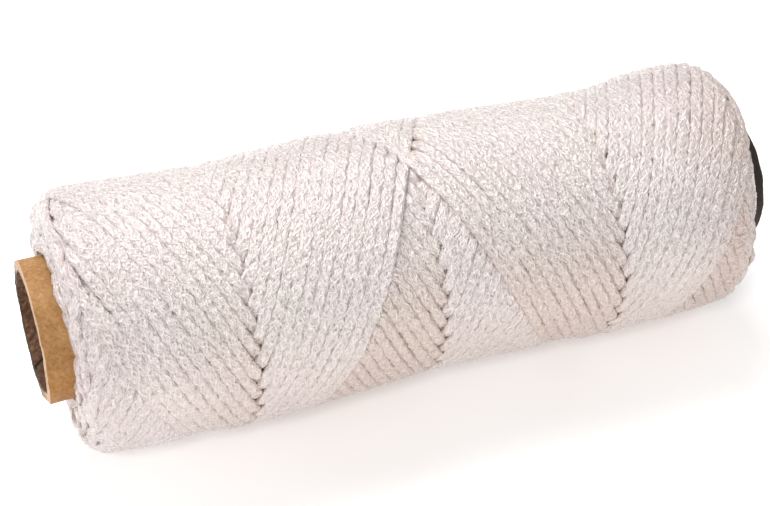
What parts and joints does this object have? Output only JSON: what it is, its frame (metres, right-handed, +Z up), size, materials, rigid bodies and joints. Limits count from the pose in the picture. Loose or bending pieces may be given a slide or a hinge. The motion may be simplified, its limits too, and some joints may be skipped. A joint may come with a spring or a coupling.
{
  "type": "string reel",
  "caption": "Reel of braided white line, cross-wound with rounded shoulders on an open-ended brown paper core.",
  "frame": {"origin": "centre of the core's bore, half way along it", "axes": "+X along the core towards the end where the string's waist lies; +Z up, with the reel lying on its side"},
  "size_m": [0.1636, 0.0562, 0.056],
  "materials": {
    "liner_paper": "dark brown paper, smooth",
    "core_board": "grey-brown paperboard, cut edge",
    "kraft_paper": "brown kraft paper, matte with a slight sheen",
    "string_inner": "braided nylon, shaded",
    "string": "braided nylon, white, glossy filaments"
  },
  "bodies": {
    "root": {"core_liner_ply": "liner_paper", "core_board_ply_1": "core_board", "core_board_ply_2": "core_board", "core_board_ply_3": "core_board", "core_board_ply_4": "core_board", "core_kraft_ply": "kraft_paper", "string_buried_layers": "string_inner", "string_outer_turns": "string"}
  },
  "joints": []
}
